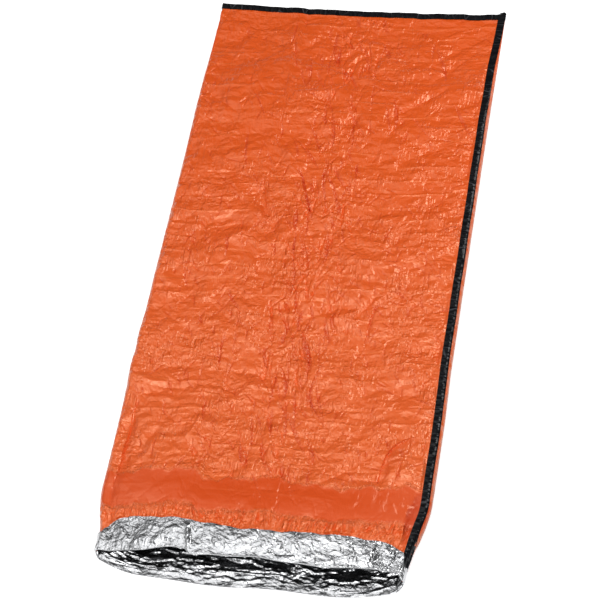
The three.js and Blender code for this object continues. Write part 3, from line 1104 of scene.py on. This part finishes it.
def side_tape(skins):
    y = np.linspace(MOUTH_CORNER_Y + 0.024, FOOT_Y - 0.016, 560)[:, None]
    s = np.linspace(-0.5, 0.5, 7)
    rng = np.random.RandomState(5)
    wrinkle = np.interp(y[:, 0], np.linspace(-1, 1.1, 330), rng.uniform(-1, 1, 330))[:, None]
    x = seam_x(y) + TAPE_OFFSET + TAPE_WIDTH * s + 0.0004 * np.sin(31 * y)
    flatter_edges = (1 - 0.6 * np.abs(s)) * ease(1.2, 0.8, np.abs(2 * s))
    z = right_top(x, y) + SIDE_TAPE_LIFT + 0.0005 * wrinkle * flatter_edges
    middle = stack(x, y, z)
    up = stack(0, 0, 0 * x + 1)
    return bend_with_mouth(shell("side_seam_tape_strip", middle, stack(x, y, 2), up, TAPE, skins))


def foot_tape(skins):
    """A strip folded round the foot edge, with a leg on top and one below."""
    x = np.linspace(-HALF_WIDTH - 0.001, HALF_WIDTH + 0.001, 260)
    angle = np.linspace(0, math.pi, 9)
    leg = np.linspace(-FOOT_LEG, -0.001, 6)
    ys = np.concatenate([leg, FOOT_FOLD_RADIUS * np.sin(angle), leg[::-1]])
    zs = FOOT_FOLD_RADIUS * np.concatenate([leg * 0 + 1, np.cos(angle), leg * 0 - 1])
    rng = np.random.RandomState(9)
    wave = np.interp(x, np.linspace(-0.5, 0.5, 40), rng.uniform(-1, 1, 40))
    fine = np.interp(x, np.linspace(-0.5, 0.5, 160), rng.uniform(-1, 1, 160))
    y = FOOT_Y - 0.002 + ys[:, None] + 0.0020 * wave
    z = FOOT_TAPE_MIDDLE + zs[:, None] + 0.0004 * (wave + fine) * (zs[:, None] > 0)
    middle = stack(x, y, z)[::-1]
    place = stack(y, x, 3)[::-1]
    piece = shell("foot_seam_tape_strip", middle, place, normals(middle), TAPE, skins)
    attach(piece, "bag")
    return piece


def corner_tail(skins):
    """The end of the side tape, lapped over the foot tape."""
    s = np.linspace(-0.5, 0.5, 7)
    v = np.linspace(0, 1, 13)[:, None]
    y = mix(FOOT_Y - 0.045, FOOT_Y + 0.004, v)
    x = seam_x(np.array(FOOT_Y)) + TAPE_OFFSET + TAPE_WIDTH * s * mix(1.0, 0.7, v)
    z = TAIL_HEIGHT + 0.0006 * np.sin(90 * y) - 0.0012 * ease(0.8, 1, v)
    middle = stack(x, y, z)
    piece = shell("corner_tape_flap", middle, stack(x, y, 4), normals(middle), TAPE, skins)
    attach(piece, "bag")
    return piece


# ---- studio ----

FLOOR_REACH = 30
FLOOR_DEPTH = 0.0004
# The sky, as (height from 0 to 1, brightness). SKY_TILT makes its right side darker.
SKY = ((0.0, 0.12), (0.35, 0.04), (0.6, 0.08), (0.78, 0.35), (0.93, 0.75), (1.0, 0.85))
SKY_TILT = -0.55
SKY_MIDDLE = 0.2
SUN_WAY = (-0.20, 0.52, -0.83)
SUN_ENERGY = 1.20
SUN_ANGLE = 40
# Each softbox, as (name, where it is, where it points, its size, its power).
SOFTBOXES = (
    ("overhead", (-0.5, -1.50, 3.2), (-0.5, -1.50, 0), (5.0, 3.2), 46),
    ("right", (2.4, 2.4, 2.6), (0, 0.4, 0), (1.6, 1.6), 57),
)

CAMERA_AZIMUTH = -20.04
CAMERA_ELEVATION = 54.31
CAMERA_ROLL = -12.65
CAMERA_TARGET = (-0.011, -0.103, 0)
CAMERA_DISTANCE = 5.814
CAMERA_LENS = 122.4
CAMERA_SENSOR = 36


def pointing(way):
    return Vector(way).to_track_quat("-Z", "Y").to_euler()


def white_floor():
    side, level = FLOOR_REACH, -FLOOR_DEPTH
    corners = [(x * side, y * side, level) for x, y in ((-1, -1), (1, -1), (1, 1), (-1, 1))]
    mesh = bpy.data.meshes.new("floor")
    mesh.from_pydata(corners, [], [(0, 1, 2, 3)])
    material, *_ = new_material("floor_white", Base_Color=(0.95, 0.95, 0.95, 1), Roughness=0.9,
                                Emission_Color=(1, 1, 1, 1), Emission_Strength=0.45)
    mesh.materials.append(material)
    floor = put("floor", mesh)
    floor.visible_diffuse = False


def sky():
    world = bpy.data.worlds.new("studio")
    bpy.context.scene.world = world
    world.use_nodes = True
    graph = Graph(world.node_tree)
    way = graph.split(graph.add("TexCoord").outputs["Generated"])
    across = graph.math("ADD", way["X"], SKY_MIDDLE)
    level = graph.math("MULTIPLY_ADD", across, SKY_TILT, way["Z"])
    light = graph.ramp(level, [(height, (brightness,) * 3) for height, brightness in SKY])
    graph.fill(graph.nodes["Background"], Color=light, Strength=1.0)


def lights():
    sun = bpy.data.lights.new("front", "SUN")
    sun.energy = SUN_ENERGY
    sun.angle = math.radians(SUN_ANGLE)
    put("front", sun).rotation_euler = pointing(SUN_WAY)
    for name, place, target, size, power in SOFTBOXES:
        light = bpy.data.lights.new(name, "AREA")
        light.shape = "RECTANGLE"
        light.size, light.size_y = size
        light.energy = power
        box = put(name, light)
        box.location = place
        box.rotation_euler = pointing(Vector(target) - Vector(place))


def camera():
    azimuth, elevation = math.radians(CAMERA_AZIMUTH), math.radians(CAMERA_ELEVATION)
    level = math.cos(elevation)
    forward = Vector((math.sin(azimuth) * level, math.cos(azimuth) * level, -math.sin(elevation)))
    right = forward.cross(Vector((0, 0, 1))).normalized()
    up = right.cross(forward)
    cos_roll, sin_roll = math.cos(math.radians(CAMERA_ROLL)), math.sin(math.radians(CAMERA_ROLL))
    right, up = right * cos_roll + up * sin_roll, up * cos_roll - right * sin_roll
    data = bpy.data.cameras.new("camera")
    data.sensor_width = CAMERA_SENSOR
    data.lens = CAMERA_LENS
    eye = put("camera", data)
    turn = Matrix((right, up, -forward)).transposed().to_4x4()
    eye.matrix_world = Matrix.Translation(Vector(CAMERA_TARGET) - forward * CAMERA_DISTANCE) @ turn
    bpy.context.scene.camera = eye


def main():
    bpy.context.scene.view_settings.view_transform = "Standard"
    camera()
    white_floor()
    sky()
    lights()
    orange, silver, tape = orange_film(), silver_film(), black_tape()
    upper = film_upper((orange, silver))
    lower = film_lower((orange, silver))
    side = side_tape((tape, tape))
    foot = foot_tape((tape, tape))
    tail = corner_tail((tape, tape))
    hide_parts("upper_panel", "upper_lip_panel", "upper_cuff", "upper_seam_margin")
    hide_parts("lower_panel", "lower_cuff", "left_fold_edge", "left_mouth_wall", "right_wrap_edge",
                "right_mouth_wall")
    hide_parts("side_seam_tape")
    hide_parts("foot_seam_tape")
    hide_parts("corner_tape_tail")


main()
